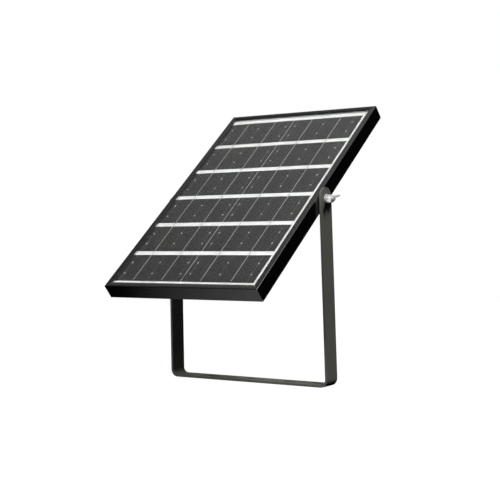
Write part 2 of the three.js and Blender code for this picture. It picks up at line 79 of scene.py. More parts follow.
PANEL_WIDTH, PANEL_LENGTH, PANEL_DEPTH = 235, 360, 19.5
WALL = 1.2
LEDGE_TOP = 14.2
GLASS_TOP = 18.0
CELL_TOP, CELL_THICK = 15.65, 0.2
RIBBON_TOP, RIBBON_WIDTH, RIBBON_THICK = 15.9, 1.2, 0.15

CELL_WIDTH, CELL_HEIGHT, CELL_PITCH, CELL_SPLIT = 108.5, 48.6, 56.2, 1.0
CELL_ROWS = 6
FIELD_X, FIELD_Y = -5.1, -1.5
FIRST_BUSBAR, BUSBAR_PITCH = 7.1, 22.7
FIELD_HEIGHT = (CELL_ROWS - 1) * CELL_PITCH + CELL_HEIGHT

BRACKET_WIDTH, TOE_IN, PIVOT_HEIGHT = 248, 2.8, 233
STRAP_WIDTH, STRAP_THICK, BEND_INNER = 24, 3, 7
BOLT_HOLE = 6.6
BASE_HOLE, SLOT_LENGTH, SLOT_WIDTH, SLOT_X = 10, 18, 8, 60
ARM_ABOVE_PIVOT = {1: 14.4, -1: 8.5}  # by side: right, left
ARM_FACE = BRACKET_WIDTH / 2 - TOE_IN


# ---------------- mesh helpers


def obj_from(name, verts, faces, place=None, smooth=True):
    """A mesh object from points in mm."""
    mesh = bpy.data.meshes.new(name)
    mesh.from_pydata([[c * MM for c in v] for v in verts], [], faces)
    mesh.validate()
    return link_object(name, mesh, place, smooth)


def obj_from_bmesh(name, bm, place=None):
    """A mesh object from a bmesh drawn in mm."""
    bmesh.ops.recalc_face_normals(bm, faces=bm.faces)
    bmesh.ops.scale(bm, vec=(MM, MM, MM), verts=bm.verts)
    mesh = bpy.data.meshes.new(name)
    bm.to_mesh(mesh)
    bm.free()
    return link_object(name, mesh, place)


def link_object(name, mesh, place=None, smooth=True):
    if place is not None:
        mesh.transform(place)
    piece = bpy.data.objects.new(name, mesh)
    bpy.context.scene.collection.objects.link(piece)
    if smooth:
        mesh.shade_smooth()
    return piece


def apply_modifiers(piece):
    depsgraph = bpy.context.evaluated_depsgraph_get()
    done = bpy.data.meshes.new_from_object(piece.evaluated_get(depsgraph))
    piece.modifiers.clear()
    piece.data = done


def bevel(piece, width, segments=2, angle=28, smooth=None):
    """Rounds every edge sharper than angle, width in mm, then smooths up to the angle smooth."""
    rounding = piece.modifiers.new("Rounding", "BEVEL")
    rounding.width = width * MM
    rounding.segments = segments
    rounding.limit_method = "ANGLE"
    rounding.angle_limit = math.radians(angle)
    rounding.harden_normals = True
    rounding.use_clamp_overlap = True
    rounding.miter_outer = "MITER_ARC"
    apply_modifiers(piece)
    if smooth:
        smooth_by_angle(piece, smooth)


def combine(piece, operation, *tools):
    """Boolean of a piece with tools, which are used up."""
    for tool in tools:
        boolean = piece.modifiers.new("Combined", "BOOLEAN")
        boolean.operation = operation
        boolean.solver = "EXACT"
        boolean.object = tool
        apply_modifiers(piece)
        bpy.data.objects.remove(tool)
    return piece


def cut(piece, *tools):
    return combine(piece, "DIFFERENCE", *tools)


def join(piece, *others):
    return combine(piece, "UNION", *others)


def prism(name, outline, low, high, place=None):
    """An outline in x, y run from z = low to z = high."""
    count = len(outline)
    verts = [(x, y, low) for x, y in outline] + [(x, y, high) for x, y in outline]
    faces = [list(range(count))[::-1], list(range(count, 2 * count))]
    faces += [(i, (i + 1) % count, count + (i + 1) % count, count + i) for i in range(count)]
    piece = obj_from(name, verts, faces, place)
    fix_normals(piece)
    return piece


def fix_normals(piece):
    bm = bmesh.new()
    bm.from_mesh(piece.data)
    bmesh.ops.recalc_face_normals(bm, faces=bm.faces)
    bm.to_mesh(piece.data)
    bm.free()


def rounded_rectangle(width, length, corner, x=0, y=0, steps=6):
    points = []
    for turn, (sx, sy) in enumerate([(1, 1), (-1, 1), (-1, -1), (1, -1)]):
        cx, cy = x + sx * (width / 2 - corner), y + sy * (length / 2 - corner)
        for step in range(steps + 1):
            angle = math.pi / 2 * (turn + step / steps)
            points.append((cx + corner * math.cos(angle), cy + corner * math.sin(angle)))
    return points


def circle(radius, steps, x=0, y=0, start=0.0):
    angles = [start + math.tau * i / steps for i in range(steps)]
    return [(x + radius * math.cos(a), y + radius * math.sin(a)) for a in angles]


def lathe(name, profile, place=None, steps=48, closed=False):
    """Turns (along, radius) points about the x axis. Points at radius 0 close the ends."""
    verts, faces, rings = [], [], []
    for along, radius in profile:
        if radius < 1e-6:
            rings.append([len(verts)])
            verts.append((along, 0, 0))
        else:
            rings.append(list(range(len(verts), len(verts) + steps)))
            verts += [(along, y, z) for y, z in circle(radius, steps)]
    pairs = list(zip(rings, rings[1:]))
    if closed:
        pairs.append((rings[-1], rings[0]))
    for a, b in pairs:
        for i in range(steps):
            j = (i + 1) % steps
            if len(a) == 1 and len(b) == 1:
                continue
            if len(a) == 1:
                faces.append((a[0], b[j], b[i]))
            elif len(b) == 1:
                faces.append((a[i], a[j], b[0]))
            else:
                faces.append((a[i], a[j], b[j], b[i]))
    piece = obj_from(name, verts, faces, place)
    fix_normals(piece)
    return piece


def rod(start, end, radius, place, steps=48):
    """A plain cylinder along x, to cut a hole or a counterbore with."""
    return lathe("tool", [(start, 0), (start, radius), (end, radius), (end, 0)], place, steps)


def smooth_by_angle(piece, degrees):
    """Smooth shading up to an angle, with broad faces kept flat right up to their rounded edges."""
    piece.data.shade_smooth()
    piece.data.set_sharp_from_angle(angle=math.radians(degrees))
    weighted = piece.modifiers.new("Flat faces", "WEIGHTED_NORMAL")
    weighted.keep_sharp = True
    apply_modifiers(piece)


def place_piece(piece, slot, *nodes, body="panel", material=None):
    """Puts a piece on its body in place of CAD nodes, with its slot's material unless it has its own."""
    if not piece.data.materials:
        piece.data.materials.append(material or SLOT_MATERIAL[slot])
    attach(piece, body)
    if nodes:
        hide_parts(*nodes)


# ---------------- material helpers


class NodeTree:
    """A shader node tree with short calls for the nodes that feed it."""

    def __init__(self, tree):
        self.tree = tree

    def node(self, kind, **values):
        made = self.tree.nodes.new(kind)
        for key, value in values.items():
            setattr(made, key, value)
        return made

    def link(self, source, target):
        self.tree.links.new(source, target)

    def ramp(self, source, *stops):
        """stops are (position, colour or grey)."""
        made = self.node("ShaderNodeValToRGB")
        elements = made.color_ramp.elements
        while len(elements) < len(stops):
            elements.new(0.5)
        for element, (position, colour) in zip(elements, stops):
            element.position = position
            grey = isinstance(colour, (int, float))
            element.color = (colour, colour, colour, 1) if grey else (*colour, 1)
        self.link(source, made.inputs["Fac"])
        return made.outputs["Color"]

    def mix(self, factor, a, b, blend="MIX"):
        made = self.node("ShaderNodeMix", data_type="RGBA", blend_type=blend)
        for value, name in ((factor, 0), (a, 6), (b, 7)):
            socket = made.inputs[name]
            if isinstance(value, bpy.types.NodeSocket):
                self.link(value, socket)
            elif isinstance(value, (int, float)):
                socket.default_value = value
            else:
                socket.default_value = (*value, 1)
        return made.outputs[2]


class Shader(NodeTree):
    """A Principled material with short calls for what drives its inputs."""

    def __init__(self, name, **constants):
        self.material = bpy.data.materials.new(name)
        self.material.use_nodes = True
        super().__init__(self.material.node_tree)
        self.principled = self.tree.nodes["Principled BSDF"]
        self.coordinates = self.node("ShaderNodeTexCoord").outputs["Object"]
        for socket, value in constants.items():
            self.principled.inputs[socket.replace("_", " ")].default_value = value

    def scaled(self, scale):
        """Coordinates along the panel's own axes, stretched: scale is per axis, in repeats a metre."""
        level = self.node("ShaderNodeMapping")
        level.inputs["Rotation"].default_value = (-TILT, 0, 0)
        self.link(self.coordinates, level.inputs["Vector"])
        mapping = self.node("ShaderNodeMapping")
        mapping.inputs["Scale"].default_value = scale
        self.link(level.outputs["Vector"], mapping.inputs["Vector"])
        return mapping.outputs["Vector"]

    def noise(self, scale, detail=3.0, distortion=0.0, vector=None):
        made = self.node("ShaderNodeTexNoise")
        made.inputs["Scale"].default_value = scale
        made.inputs["Detail"].default_value = detail
        made.inputs["Roughness"].default_value = 0.55
        made.inputs["Distortion"].default_value = distortion
        self.link(vector or self.coordinates, made.inputs["Vector"])
        return made.outputs["Fac"]

    def cells(self, scale):
        made = self.node("ShaderNodeTexVoronoi")
        made.inputs["Scale"].default_value = scale
        self.link(self.coordinates, made.inputs["Vector"])
        return made.outputs["Distance"]

    def math(self, operation, a, b=0.0, clamp=False):
        made = self.node("ShaderNodeMath", operation=operation, use_clamp=clamp)
        for index, value in enumerate((a, b)):
            if isinstance(value, bpy.types.NodeSocket):
                self.link(value, made.inputs[index])
            else:
                made.inputs[index].default_value = value
        return made.outputs[0]

    def colour(self, source):
        self.link(source, self.principled.inputs["Base Color"])

    def roughness(self, source, low, high):
        spread = self.node("ShaderNodeMapRange")
        spread.inputs["To Min"].default_value = low
        spread.inputs["To Max"].default_value = high
        self.link(source, spread.inputs["Value"])
        self.link(spread.outputs[0], self.principled.inputs["Roughness"])

    def bump(self, source, height_mm, strength=1.0, under=None):
        made = self.node("ShaderNodeBump")
        made.inputs["Strength"].default_value = strength
        made.inputs["Distance"].default_value = height_mm * MM
        self.link(source, made.inputs["Height"])
        if under:
            self.link(under, made.inputs["Normal"])
        self.link(made.outputs[0], self.principled.inputs["Normal"])
        return made.outputs[0]

    def edge_wear_and_highlight_mask(self, radius_mm):
        """0 on flats, rising on edges, where rubbed wear and a painted edge highlight go: how far a rounded normal
        leans from the true one.
        """
        rounded = self.node("ShaderNodeBevel", samples=4)
        rounded.inputs["Radius"].default_value = radius_mm * MM
        true = self.node("ShaderNodeNewGeometry")
        dot = self.node("ShaderNodeVectorMath", operation="DOT_PRODUCT")
        self.link(rounded.outputs[0], dot.inputs[0])
        self.link(true.outputs["Normal"], dot.inputs[1])
        return self.math("SUBTRACT", 1.0, dot.outputs["Value"], clamp=True)


# ---------------- materials


def powder_coat():
    """Satin charcoal powder coat: fine orange peel, slightly lighter where edges are rubbed."""
    s = Shader("Powder coat", Roughness=0.5, Specular_IOR_Level=0.4)
    peel = s.noise(900, detail=2)
    speckle = s.noise(4200, detail=2)
    drift = s.noise(14, detail=4)
    base = s.ramp(drift, (0.3, (0.162, 0.164, 0.141)), (0.7, (0.182, 0.185, 0.159)))
    base = s.mix(s.ramp(speckle, (0.46, 0.0), (0.7, 0.35)), base, (0.22, 0.22, 0.195))
    rubbed = s.math("MULTIPLY", s.ramp(drift, (0.42, 0.25), (0.62, 1.0)), 0.5)
    edge = s.ramp(s.edge_wear_and_highlight_mask(0.7), (0.02, 0.0), (0.16, 1.0))
    base = s.mix(s.math("MULTIPLY", edge, rubbed), base, (0.26, 0.26, 0.24))
    s.colour(base)
    s.roughness(peel, 0.42, 0.6)
    under = s.bump(speckle, 0.02, 0.35)
    s.bump(peel, 0.05, 0.5, under)
    return s.material


def anodised(name, along):
    """Black anodised extrusion: faint die lines along the rail, which runs along 'x' or 'y', and edges lightened
    partly as rubbed wear and partly as a painted highlight.
    """
    s = Shader(name, IOR=2.0, Specular_IOR_Level=0.85, Coat_Weight=0.5, Coat_Roughness=0.2)
    stretch = (6, 1500, 1500) if along == "x" else (1500, 6, 1500)
    lines = s.noise(1, detail=3, vector=s.scaled(stretch))
    drift = s.noise(18, detail=3)
    fine = s.noise(2600, detail=1)
    base = s.ramp(drift, (0.3, (0.0010, 0.0010, 0.0008)), (0.7, (0.0018, 0.0017, 0.0014)))
    base = s.mix(s.ramp(lines, (0.5, 0.0), (0.75, 0.5)), base, (0.0035, 0.0035, 0.0030))
    # Lighter edges: partly rubbed wear, partly a painted highlight that stands in for light caught on the
    # chamfers.
    edge = s.ramp(s.edge_wear_and_highlight_mask(0.4), (0.03, 0.0), (0.2, 1.0))
    base = s.mix(s.math("MULTIPLY", edge, 0.35), base, (0.012, 0.012, 0.011))
    s.colour(base)
    s.roughness(s.mix(0.5, lines, fine), 0.2, 0.32)
    s.bump(lines, 0.012, 0.35)
    return s.material


def solar_glass():
    """Clear low-iron glass with the faint waviness of a rolled sheet."""
    s = Shader("Solar glass", Roughness=0.04, IOR=1.5, Transmission_Weight=1.0)
    s.principled.inputs["Base Color"].default_value = (0.985, 1.0, 0.995, 1)
    waves = s.noise(55, detail=2)
    smudge = s.noise(20, detail=4, distortion=0.6)
    s.roughness(smudge, 0.03, 0.07)
    s.bump(waves, 0.01, 0.12)
    return s.material


def silicon():
    """Monocrystalline silicon under its anti-reflection coat: near black, mottled violet and olive."""
    s = Shader("Silicon", Specular_IOR_Level=0.2)
    patches = s.noise(24, detail=3, distortion=0.4)
    grain = s.noise(1400, detail=3)
    tint = s.ramp(patches, (0.28, (0.0085, 0.0085, 0.0060)), (0.5, (0.0068, 0.0065, 0.0072)),
                  (0.72, (0.0092, 0.0070, 0.0088)))
    tone = s.ramp(grain, (0.35, 0.6), (0.65, 1.35))
    s.colour(s.mix(1.0, tint, tone, "MULTIPLY"))
    s.roughness(grain, 0.4, 0.55)
    s.bump(grain, 0.004, 0.4)
    return s.material


def grained(name, scale, dark, light, rough, relief_mm, strength=0.5, detail=3, stretch=None, **constants):
    """A material whose tone, roughness and fine relief all follow one noise, streaked by stretch."""
    s = Shader(name, **constants)
    grain = s.noise(scale, detail, vector=s.scaled(stretch) if stretch else None)
    s.colour(s.ramp(grain, (0.3, dark), (0.7, light)))
    s.roughness(grain, *rough)
    s.bump(grain, relief_mm, strength)
    return s.material


def backsheet_film():
    """White laminated film with the soft pebble left by the press."""
    s = Shader("Backsheet film", Roughness=0.55)
    pebble = s.cells(620)
    drift = s.noise(12, detail=3)
    s.colour(s.ramp(drift, (0.3, (0.61, 0.61, 0.598)), (0.7, (0.65, 0.65, 0.637))))
    s.roughness(pebble, 0.45, 0.65)
    s.bump(pebble, 0.03, 0.25)
    return s.material


def moulded_plastic(name, dark, light, relief_mm=0.03):
    """Moulded plastic with a spark-eroded grain."""
    s = Shader(name, Specular_IOR_Level=0.45)
    grain = s.cells(1900)
    drift = s.noise(40, detail=3)
    s.colour(s.ramp(drift, (0.3, dark), (0.7, light)))
    s.roughness(grain, 0.38, 0.62)
    s.bump(grain, relief_mm, 0.4)
    return s.material


def zinc_plate():
    """Bright zinc plate: soft cloudy tone, fine drawn grain and duller patches."""
    s = Shader("Zinc plate", Metallic=0.25)
    cloud = s.noise(480, detail=4, distortion=0.5)
    grain = s.noise(3800, detail=2)
    s.colour(s.ramp(cloud, (0.32, (0.68, 0.69, 0.675)), (0.62, (0.93, 0.93, 0.91))))
    s.roughness(s.mix(0.5, cloud, grain), 0.24, 0.5)
    s.bump(grain, 0.01, 0.5)
    return s.material


RAIL_ALONG_Y = anodised("Black anodised side rail", "y")
RAIL_ALONG_X = anodised("Black anodised end rail", "x")
SILICON = silicon()
PAD_SILVER = grained("Silver pads", 5200, (0.66, 0.66, 0.65), (0.80, 0.80, 0.78), (0.4, 0.6), 0.01,
                     detail=2, Metallic=0.1)
GRID_SILVER = grained("Silver grid", 5200, (0.20, 0.20, 0.195), (0.27, 0.27, 0.26), (0.4, 0.6), 0.01,
                      detail=2, Metallic=0.1)
NYLON = moulded_plastic("Nylon insert", (0.10, 0.14, 0.32), (0.14, 0.19, 0.40), 0.01)
SLOT_MATERIAL = {
    "powder_coat": powder_coat(),
    "anodised_frame": RAIL_ALONG_Y,
    "glass": solar_glass(),
    "silicon": SILICON,
    "backsheet": backsheet_film(),
    "zinc_plate": zinc_plate(),
    "black_plastic": moulded_plastic("Black plastic", (0.012, 0.012, 0.012), (0.019, 0.019, 0.020)),
    "grey_plastic": moulded_plastic("Grey plastic", (0.20, 0.21, 0.22), (0.26, 0.27, 0.28)),
    "tinned_copper": grained("Tinned copper", 1, (0.34, 0.34, 0.33), (0.44, 0.44, 0.43), (0.28, 0.5),
                             0.01, 0.6, stretch=(5200, 220, 5200), Metallic=0.7),
    "sealant": grained("Sealant", 260, (0.66, 0.66, 0.64), (0.78, 0.78, 0.76), (0.35, 0.6), 0.08, 0.4,
                       Roughness=0.6),
    "raw_aluminium": grained("Mill aluminium", 1, (0.55, 0.56, 0.57), (0.7, 0.71, 0.72), (0.3, 0.5),
                             0.01, stretch=(40, 40, 3500), Metallic=1.0),
    "rubber": grained("Rubber", 1500, (0.010, 0.010, 0.010), (0.022, 0.022, 0.022), (0.7, 0.9), 0.02,
                      Specular_IOR_Level=0.3),
    "brass": grained("Brass", 2500, (0.56, 0.40, 0.15), (0.70, 0.52, 0.23), (0.25, 0.45), 0.01,
                     Metallic=1.0),
}

# ---------------- camera, light and floor

CAMERA = {  # mm from the middle of the bracket's base, degrees, and mm of lens
    "from_middle": (917.65, -1267.43, 222.61),
    "azimuth": 35.81,
    "pitch": -1.93,
    "roll": -1.43,
    "lens": 87.12,
}


def make_camera():
    data = bpy.data.cameras.new("Camera")
    data.sensor_width = 36
    data.lens = CAMERA["lens"]
    data.clip_start, data.clip_end = 0.05, 100
    camera = bpy.data.objects.new("Camera", data)
    bpy.context.scene.collection.objects.link(camera)
    azimuth, pitch, roll = (math.radians(CAMERA[k]) for k in ("azimuth", "pitch", "roll"))
    forward = Vector((-math.sin(azimuth) * math.cos(pitch),
                      math.cos(azimuth) * math.cos(pitch),
                      math.sin(pitch)))
    right = Vector((math.cos(azimuth), math.sin(azimuth), 0))
    up = right.cross(forward)
    tilted_right = right * math.cos(roll) + up * math.sin(roll)
    tilted_up = up * math.cos(roll) - right * math.sin(roll)
    turn = Matrix((tilted_right, tilted_up, -forward)).transposed()
    place = Vector(CAMERA["from_middle"]) * MM + Vector((pivot.x, 0, 0))
    camera.matrix_world = Matrix.Translation(place) @ turn.to_4x4()
    bpy.context.scene.camera = camera


def area_light(name, place, size, power, glossy=True):
    """A round soft lamp, in metres and watts, aimed at the bracket's upper half."""
    data = bpy.data.lights.new(name, "AREA")
    data.shape = "DISK"
    data.size = size
    data.energy = power
    light = bpy.data.objects.new(name, data)
    bpy.context.scene.collection.objects.link(light)
    light.location = place
    light.rotation_mode = "QUATERNION"
    light.rotation_quaternion = (Vector(LAMP_TARGET) - Vector(place)).to_track_quat("-Z", "Y")
    light.visible_camera = False
    light.visible_glossy = glossy


LAMP_TARGET = (0, 0, 0.2)
GLOW_DIRECTION = (0, 0.8, 0.6)  # the stops are (cosine of the angle to it, strength)
GLOW_STOPS = [(0.35, 0.015), (0.5, 0.04), (0.7, 0.27), (1.0, 0.32)]
HORIZON_STOPS = [(0.0, 0.0), (0.42, 0.03), (0.68, 1.0)]  # (sine of the height, share of the glow)
FLOOR_RADIUS, FLOOR_Z, CARD_Z = 1300, -0.2, -0.1


def make_floor():
    """A pale matt disc that glows almost white by itself, so that shadows on it stay faint."""
    steps = 96
    verts = [(x, y, FLOOR_Z) for x, y in circle(FLOOR_RADIUS, steps)] + [(0, 0, FLOOR_Z)]
    faces = [(i, (i + 1) % steps, steps) for i in range(steps)]
    floor = obj_from("floor", verts, faces)
    s = Shader("Floor", Roughness=0.9, Emission_Color=(1, 1, 1, 1), Emission_Strength=0.96)
    speck = s.noise(40, detail=3)
    s.colour(s.ramp(speck, (0.3, (0.11, 0.11, 0.11)), (0.7, (0.13, 0.13, 0.13))))
    s.material.cycles.emission_sampling = "NONE"
    floor.data.materials.append(s.material)
    floor.visible_diffuse = False
    floor.visible_glossy = False


def make_bounce_card():
    """A card lying before the lower rail, paler to the right. It shows only in reflections."""
    left, right, near, far = -220, 200, -250, -120
    corners = [(left, near), (right, near), (right, far), (left, far)]
    card = obj_from("bounce_card", [(x, y, CARD_Z) for x, y in corners], [(0, 1, 2, 3)])
    s = Shader("Bounce card", Roughness=0.9, Specular_IOR_Level=0.0)
    across = s.node("ShaderNodeSeparateXYZ")
    s.link(s.coordinates, across.inputs[0])
    spread = s.node("ShaderNodeMapRange")
    spread.inputs["From Min"].default_value = -200 * MM
    spread.inputs["From Max"].default_value = 40 * MM
    s.link(across.outputs["X"], spread.inputs["Value"])
    s.colour(s.ramp(spread.outputs[0], (0.0, 0.004), (0.45, 0.15), (1.0, 0.31)))
    card.data.materials.append(s.material)
    card.visible_camera = False
    card.visible_diffuse = False
    card.visible_shadow = False


def make_world():
    """White to the camera. To the object, dark walls and a soft glow high up behind it."""
    world = bpy.data.worlds.new("Studio")
    bpy.context.scene.world = world
    world.use_nodes = True
    world.node_tree.nodes.clear()
    t = NodeTree(world.node_tree)
    direction = t.node("ShaderNodeTexCoord").outputs["Generated"]
    towards = t.node("ShaderNodeVectorMath", operation="DOT_PRODUCT")
    towards.inputs[1].default_value = GLOW_DIRECTION
    t.link(direction, towards.inputs[0])
    height = t.node("ShaderNodeSeparateXYZ")
    t.link(direction, height.inputs[0])
    glow = t.mix(1, t.ramp(towards.outputs["Value"], *GLOW_STOPS),
                 t.ramp(height.outputs["Z"], *HORIZON_STOPS), "MULTIPLY")

    studio = t.node("ShaderNodeBackground")
    white = t.node("ShaderNodeBackground")
    white.inputs["Color"].default_value = (1, 1, 1, 1)
    choose = t.node("ShaderNodeMixShader")
    t.link(glow, studio.inputs["Color"])
    t.link(t.node("ShaderNodeLightPath").outputs["Is Camera Ray"], choose.inputs["Fac"])
    t.link(studio.outputs[0], choose.inputs[1])
    t.link(white.outputs[0], choose.inputs[2])
    t.link(choose.outputs[0], t.node("ShaderNodeOutputWorld").inputs["Surface"])


make_camera()
make_world()
make_floor()
make_bounce_card()
area_light("Key", (1.9, -0.73, 2.68), 1.0, 56)
area_light("Front", (-0.3, -2.6, 1.85), 1.5, 42)
area_light("Back", (-1.2, 1.6, 0.3), 1.0, 22, glossy=False)
bpy.context.scene.view_settings.view_transform = "Standard"

# ---------------- bracket


def flat_strap():
    """The strap unbent: x along its length with 0 in the middle, y across, z through it from 0 up."""
    toe = math.atan(TOE_IN / PIVOT_HEIGHT)
    outer = BEND_INNER + STRAP_THICK
    mid_radius = BEND_INNER + STRAP_THICK / 2
    bend_x = BRACKET_WIDTH / 2 - outer * (1 + math.sin(toe)) / math.cos(toe)
    turn = math.pi / 2 + toe
    bend_length = mid_radius * turn
    end = Vector((bend_x + outer * math.cos(toe), outer + outer * math.sin(toe)))
    half_width = STRAP_WIDTH / 2
    half_length = {
        side: bend_x + bend_length + (PIVOT_HEIGHT + above - end.y) / math.cos(toe)
        for side, above in ARM_ABOVE_PIVOT.items()
    }
    hole_along = bend_x + bend_length + (PIVOT_HEIGHT - end.y) / math.cos(toe)

    outline = []
    end_steps = 24
    for side in (1, -1):
        for step in range(end_steps + 1):
            angle = -math.pi / 2 + math.pi * step / end_steps
            outline.append((
                side * (half_length[side] - half_width + half_width * math.cos(angle)),
                side * half_width * math.sin(angle),
            ))
    holes = [circle(BASE_HOLE / 2, 40)]
    holes += [circle(BOLT_HOLE / 2, 32, x=side * hole_along) for side in (1, -1)]
    slot_end = SLOT_WIDTH / 2 - 0.001
    holes += [rounded_rectangle(SLOT_LENGTH, SLOT_WIDTH, slot_end, x=side * SLOT_X, steps=10)
              for side in (1, -1)]

    bm = bmesh.new()
    edges = []
    for loop in [outline, *holes]:
        points = [bm.verts.new((x, y, 0)) for x, y in loop]
        edges += [bm.edges.new((a, b)) for a, b in zip(points, points[1:] + points[:1])]
    bmesh.ops.triangle_fill(bm, edges=edges, use_beauty=True)
    bmesh.ops.dissolve_limit(bm, angle_limit=0.001, verts=bm.verts, edges=bm.edges)
    made = bmesh.ops.extrude_face_region(bm, geom=bm.faces[:])
    top = [v for v in made["geom"] if isinstance(v, bmesh.types.BMVert)]
    bmesh.ops.translate(bm, verts=top, vec=(0, 0, STRAP_THICK))
    bmesh.ops.recalc_face_normals(bm, faces=bm.faces)
    rims = [e for e in bm.edges if len(e.link_faces) == 2 and e.calc_face_angle(0) > 1.2]
    bmesh.ops.bevel(bm, geom=rims, offset=0.55, segments=3, profile=0.5, affect="EDGES", clamp_overlap=True)
    bend_steps, base_steps = 14, 6
    stations = []
    for side in (1, -1):
        stations += [side * (bend_x + bend_length * i / bend_steps) for i in range(bend_steps + 1)]
        stations += [side * (bend_x * i / base_steps) for i in range(base_steps)]
    for station in stations:
        geometry = bm.verts[:] + bm.edges[:] + bm.faces[:]
        bmesh.ops.bisect_plane(bm, geom=geometry, dist=1e-4, plane_co=(station, 0, 0), plane_no=(1, 0, 0))

    def bend(point):
        """Carries a point of the flat strap to the bent one: z = 0 is the outer face."""
        side = 1 if point.x >= 0 else -1
        along, radius = abs(point.x), outer - point.z
        if along <= bend_x:
            return point
        if along <= bend_x + bend_length:
            angle = (along - bend_x) / mid_radius
            x = bend_x + radius * math.sin(angle)
            z = outer - radius * math.cos(angle)
        else:
            past = along - bend_x - bend_length
            x = bend_x + radius * math.cos(toe) - past * math.sin(toe)
            z = outer + radius * math.sin(toe) + past * math.cos(toe)
        return Vector((side * x, point.y, z))

    for vert in bm.verts:
        vert.co = bend(vert.co)
    return bm


def make_bracket():
    piece = obj_from_bmesh("bracket_strap", flat_strap(), STAND)
    smooth_by_angle(piece, 24)
    place_piece(piece, "powder_coat", "u_bracket", body="bracket")


make_bracket()

# ---------------- frame rails


def rail_section():
    under = LEDGE_TOP - 1.1
    lip_under = PANEL_DEPTH - 1.4
    return [
        (0, 0), (12, 0), (12, WALL), (WALL, WALL), (WALL, under), (6, under), (6, LEDGE_TOP),
        (WALL, LEDGE_TOP), (WALL, lip_under), (8.2, lip_under), (8.2, PANEL_DEPTH - 0.8),
        (4.2, PANEL_DEPTH), (0.6, PANEL_DEPTH), (0, PANEL_DEPTH - 0.6),
    ]


def make_rail(word, length, width, quarter_turns, material, hole_y=None):
    """One mitred rail: the section is drawn on the +x side and the rail turned into place."""
    mitre_gap = 0.15
    section = rail_section()
    verts = []
    for end in (-1, 1):
        verts += [(width / 2 - inward, end * (length / 2 - inward - mitre_gap), height)
                  for inward, height in section]
    count = len(section)
    faces = [list(range(count)), list(range(count, 2 * count))[::-1]]
    faces += [(i, (i + 1) % count, count + (i + 1) % count, count + i) for i in range(count)]
    turn = turned(90 * quarter_turns, "Z")
    piece = obj_from(f"rail_of_{word}", [turn @ Vector(v) for v in verts], faces, PANEL)
    fix_normals(piece)
    if hole_y is not None:
        side, reach = (1 if quarter_turns == 0 else -1), 4
        place = PANEL @ moved(0, hole_y, PIVOT_ABOVE_REAR)
        wall_x = width / 2
        cut(piece, rod(side * (wall_x - reach), side * (wall_x + reach), BOLT_HOLE / 2, place, 32))
    bevel(piece, 0.22, 2, 15, smooth=40)
    place_piece(piece, "anodised_frame", f"frame_rail_{word}", material=material)


make_rail("right", PANEL_LENGTH, PANEL_WIDTH, 0, RAIL_ALONG_Y, -CENTRE_ABOVE_PIVOT)
make_rail("upper", PANEL_WIDTH, PANEL_LENGTH, 1, RAIL_ALONG_X)
make_rail("left", PANEL_LENGTH, PANEL_WIDTH, 2, RAIL_ALONG_Y, -CENTRE_ABOVE_PIVOT)
make_rail("lower", PANEL_WIDTH, PANEL_LENGTH, 3, RAIL_ALONG_X)

# ---------------- glass and laminate


def make_glass():
    inset = 1.6
    outline = rounded_rectangle(PANEL_WIDTH - 2 * inset, PANEL_LENGTH - 2 * inset, 1, steps=3)
    piece = prism("glass_sheet", outline, GLASS_TOP - 2, GLASS_TOP, PANEL)
    bevel(piece, 0.3, 2)
    piece.visible_shadow = False
    place_piece(piece, "glass", "front_glass")


def add_box(verts, faces, x, y, low, high, width, length):
    """Adds a box standing on x, y to lists of points and faces."""
    start = len(verts)
    for z in (low, high):
        for sx, sy in ((-1, -1), (1, -1), (1, 1), (-1, 1)):
            verts.append((x + sx * width / 2, y + sy * length / 2, z))
    a = start
    faces += [
        (a + 3, a + 2, a + 1, a), (a + 4, a + 5, a + 6, a + 7),
        (a, a + 1, a + 5, a + 4), (a + 1, a + 2, a + 6, a + 5),
        (a + 2, a + 3, a + 7, a + 6), (a + 3, a, a + 4, a + 7),
    ]


FINGERS, FINGER_WIDTH, FINGER_HIGH = 33, 0.08, 0.012
BUSBARS, BUSBAR_WIDTH, BUSBAR_HIGH = 5, 0.2, 0.02
PAD_WIDTH, PAD_SHARES = 1.6, (0.29, 0.71)  # pads sit at these shares of the cell's height


def make_cell(row, side, dice):
    """A half cell: silicon plate with printed fingers, busbars and solder pads on its face."""
    x = FIELD_X + side * (CELL_SPLIT + CELL_WIDTH) / 2
    y = FIELD_Y - FIELD_HEIGHT / 2 + CELL_HEIGHT / 2 + row * CELL_PITCH
    plate, grid, pad = range(3)
    verts, faces, kinds = [], [], []

    def add(kind, *box):
        add_box(verts, faces, *box)
        kinds.append(kind)

    add(plate, x, y, CELL_TOP - CELL_THICK, CELL_TOP, CELL_WIDTH, CELL_HEIGHT)
    margin = 1
    pitch = (CELL_HEIGHT - 2 * margin) / (FINGERS - 1)
    for i in range(FINGERS):
        finger_y = y - CELL_HEIGHT / 2 + margin + i * pitch
        add(grid, x, finger_y, CELL_TOP, CELL_TOP + FINGER_HIGH, CELL_WIDTH - 1.6, FINGER_WIDTH)
    for k in range(BUSBARS):
        bus_x = FIELD_X + side * (CELL_SPLIT / 2 + FIRST_BUSBAR + k * BUSBAR_PITCH)
        add(grid, bus_x, y, CELL_TOP, CELL_TOP + BUSBAR_HIGH, BUSBAR_WIDTH, CELL_HEIGHT - 1.4)
        if k % 2 == 0:
            for share in PAD_SHARES:
                pad_y = y + (share - 0.5) * CELL_HEIGHT + dice.uniform(-0.4, 0.4)
                size = dice.uniform(1.3, 1.9)
                add(pad, bus_x, pad_y, CELL_TOP, CELL_TOP + dice.uniform(0.03, 0.05), PAD_WIDTH, size)
    place = f"row{row + 1}_{'left' if side < 0 else 'right'}"
    piece = obj_from(f"cell_{place}", verts, faces, PANEL, smooth=False)
    for material in (SILICON, GRID_SILVER, PAD_SILVER):
        piece.data.materials.append(material)
    faces_in_box = 6
    for face in piece.data.polygons:
        face.material_index = kinds[face.index // faces_in_box]
    place_piece(piece, "silicon", f"solar_cell_{place}")


